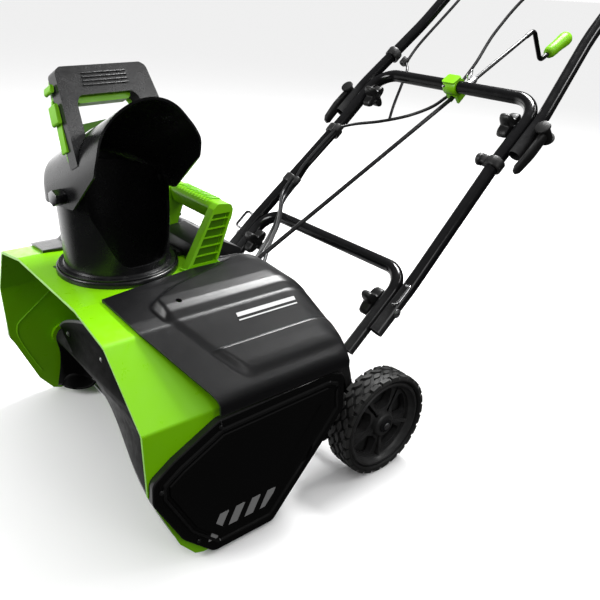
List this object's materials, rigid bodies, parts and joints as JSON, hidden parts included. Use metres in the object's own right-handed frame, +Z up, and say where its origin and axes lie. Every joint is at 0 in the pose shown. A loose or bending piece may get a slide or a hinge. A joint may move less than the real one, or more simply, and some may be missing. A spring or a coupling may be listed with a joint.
{
  "type": "cordless snow thrower",
  "caption": "Walk-behind single-stage snow thrower with a full-width rubber auger, turning chute with a tilting hood, transport wheels and a folding tube handle.",
  "frame": {"origin": "middle of the scraper bar's underside, on the ground", "axes": "+X to the operator's left, +Y from the auger mouth back to the handle, +Z up"},
  "size_m": [0.568, 1.2576, 0.968],
  "materials": {
    "body_green": "lime green, moulded, satin gloss",
    "chassis_green": "lime green powder coat",
    "cover_black": "black, fine textured",
    "panel_black": "black, high gloss",
    "tube_black": "black gloss powder coat",
    "auger_rubber": "black reinforced rubber",
    "tyre_rubber": "black block tread",
    "grip_foam": "black foam sleeve",
    "bare_steel": "bare or zinc-plated steel",
    "bright_steel": "bright plated",
    "scraper_steel": "worn plated steel",
    "cast_motor": "die-cast can",
    "board": "green laminate with parts",
    "cable_black": "black cable sheath"
  },
  "bodies": {
    "chassis": {"auger_housing": "chassis_green", "rear_housing": "cover_black", "centre_cover": "cover_black", "motor_cover": "cover_black", "battery_cover": "cover_black", "side_panel_left": "panel_black", "side_panel_right": "panel_black", "scraper_bar": "scraper_steel", "carry_handle": "body_green", "motor_body": "cast_motor", "drive_belt": "auger_rubber", "control_board": "board", "auger_bearing_left": "bare_steel", "auger_bearing_right": "bare_steel", "wheel_axle": "bare_steel", "handle_bracket_left": "cover_black", "handle_bracket_right": "cover_black", "lower_handle": "tube_black", "cable_chassis": "cable_black"},
    "auger": {"auger_shaft": "bare_steel", "auger_paddle": "auger_rubber", "auger_pulley": "cover_black"},
    "motor_rotor": {"motor_pulley": "bare_steel"},
    "left_wheel": {"wheel_left": "cover_black", "tyre_left": "tyre_rubber"},
    "right_wheel": {"wheel_right": "cover_black", "tyre_right": "tyre_rubber"},
    "chute": {"chute_tube": "cover_black", "chute_gear": "cover_black"},
    "transfer": {"transfer_gear": "cover_black"},
    "crank": {"crank_pinion": "cover_black", "crank_rod": "tube_black", "rod_clip": "bright_steel", "crank_arm": "tube_black", "crank_grip": "body_green"},
    "hood": {"chute_hood": "cover_black", "hood_bolt_left": "bright_steel", "hood_bolt_right": "bright_steel", "deflector_handle": "cover_black"},
    "trigger": {"deflector_trigger": "body_green"},
    "battery_door": {"battery_lid": "cover_black"},
    "battery": {"battery_pack": "body_green"},
    "latch": {"battery_latch": "cover_black"},
    "lower_left_knob": {"lower_knob_left": "cover_black"},
    "lower_right_knob": {"lower_knob_right": "cover_black"},
    "middle": {"middle_handle": "tube_black", "tube_clip_left": "bright_steel", "tube_clip_right": "bright_steel", "rod_bracket": "body_green", "cable_middle": "cable_black"},
    "upper_left_knob": {"upper_knob_left": "cover_black"},
    "upper_right_knob": {"upper_knob_right": "cover_black"},
    "upper": {"upper_handle": "tube_black", "handle_grip": "grip_foam", "switch_box": "cover_black", "cable_upper": "cable_black"},
    "left_cam": {"cam_lever_left": "cover_black"},
    "right_cam": {"cam_lever_right": "cover_black"},
    "bail": {"bail_lever": "tube_black"},
    "button": {"start_button": "body_green"}
  },
  "joints": [
    {"name": "auger_spin", "type": "hinge", "parent": "chassis", "child": "auger", "pos_m": [0, -0.065, 0.118], "axis": [1, 0, 0], "continuous": true},
    {"name": "motor_spin", "type": "hinge", "parent": "chassis", "child": "motor_rotor", "pos_m": [0, 0.097, 0.15], "axis": [1, 0, 0], "continuous": true},
    {"name": "wheel_left_spin", "type": "hinge", "parent": "chassis", "child": "left_wheel", "pos_m": [0, 0.254, 0.089], "axis": [1, 0, 0], "continuous": true},
    {"name": "wheel_right_spin", "type": "hinge", "parent": "chassis", "child": "right_wheel", "pos_m": [0, 0.254, 0.089], "axis": [1, 0, 0], "continuous": true},
    {"name": "chute_turn", "type": "hinge", "parent": "chassis", "child": "chute", "pos_m": [0, -0.0595, 0], "axis": [0, 0, 1], "range_deg": [-200, 0]},
    {"name": "transfer_spin", "type": "hinge", "parent": "chassis", "child": "transfer", "pos_m": [0, 0.055, 0], "axis": [0, 0, 1], "range_deg": [-5, 565]},
    {"name": "crank_spin", "type": "hinge", "parent": "chassis", "child": "crank", "pos_m": [0, 0.178, 0.289], "axis": [0, 0.889, 0.4579], "range_deg": [-1055, 5]},
    {"name": "deflector_tilt", "type": "hinge", "parent": "chute", "child": "hood", "pos_m": [0.0128, -0.05724, 0.468], "axis": [-0.1736, 0.9848, 0], "range_deg": [-5, 40]},
    {"name": "deflector_squeeze", "type": "slide", "parent": "hood", "child": "trigger", "axis": [-0.4593, -0.081, 0.8846], "range_m": [0, 0.008], "stiffness_N_per_m": 150},
    {"name": "battery_lid_open", "type": "hinge", "parent": "chassis", "child": "battery_door", "pos_m": [-0.119, -0.0176, 0.3609], "axis": [0.98, 0, 0.1989], "range_deg": [0, 95]},
    {"name": "battery_eject", "type": "slide", "parent": "chassis", "child": "battery", "axis": [0, 0, 1], "range_m": [0, 0.012]},
    {"name": "battery_latch_slide", "type": "slide", "parent": "battery", "child": "latch", "axis": [0, 1, 0], "range_m": [0, 0.004]},
    {"name": "lower_knob_left_turn", "type": "hinge", "parent": "chassis", "child": "lower_left_knob", "pos_m": [0, 0.312, 0.2537], "axis": [1, 0, 0], "range_deg": [-180, 180]},
    {"name": "lower_knob_right_turn", "type": "hinge", "parent": "chassis", "child": "lower_right_knob", "pos_m": [0, 0.312, 0.2537], "axis": [1, 0, 0], "range_deg": [-180, 180]},
    {"name": "middle_fold", "type": "hinge", "parent": "chassis", "child": "middle", "pos_m": [0, 0.312, 0.2537], "axis": [1, 0, 0], "range_deg": [0, 70]},
    {"name": "upper_knob_left_turn", "type": "hinge", "parent": "middle", "child": "upper_left_knob", "pos_m": [0, 0.61565, 0.52018], "axis": [1, 0, 0], "range_deg": [-180, 180]},
    {"name": "upper_knob_right_turn", "type": "hinge", "parent": "middle", "child": "upper_right_knob", "pos_m": [0, 0.61565, 0.52018], "axis": [1, 0, 0], "range_deg": [-180, 180]},
    {"name": "upper_fold", "type": "hinge", "parent": "middle", "child": "upper", "pos_m": [0, 0.61565, 0.52018], "axis": [1, 0, 0], "range_deg": [0, 95]},
    {"name": "cam_left_swing", "type": "hinge", "parent": "upper", "child": "left_cam", "pos_m": [0.2442, 0.61565, 0.52018], "axis": [0, -0.6596, 0.7516], "range_deg": [0, 110]},
    {"name": "cam_right_swing", "type": "hinge", "parent": "upper", "child": "right_cam", "pos_m": [-0.2442, 0.61565, 0.52018], "axis": [0, -0.6596, 0.7516], "range_deg": [-110, 0]},
    {"name": "bail_squeeze", "type": "hinge", "parent": "upper", "child": "bail", "pos_m": [0, 0.98561, 0.85816], "axis": [1, 0, 0], "range_deg": [-28, 0], "stiffness_Nm_per_rad": 0.4},
    {"name": "start_press", "type": "slide", "parent": "upper", "child": "button", "axis": [0, 0.6596, -0.7516], "range_m": [0, 0.004], "stiffness_N_per_m": 150}
  ],
  "couplings": [
    {"joint": "motor_spin", "follows": "auger_spin", "ratio": 5},
    {"joint": "transfer_spin", "follows": "chute_turn", "ratio": -2.8},
    {"joint": "crank_spin", "follows": "chute_turn", "ratio": 5.25}
  ]
}
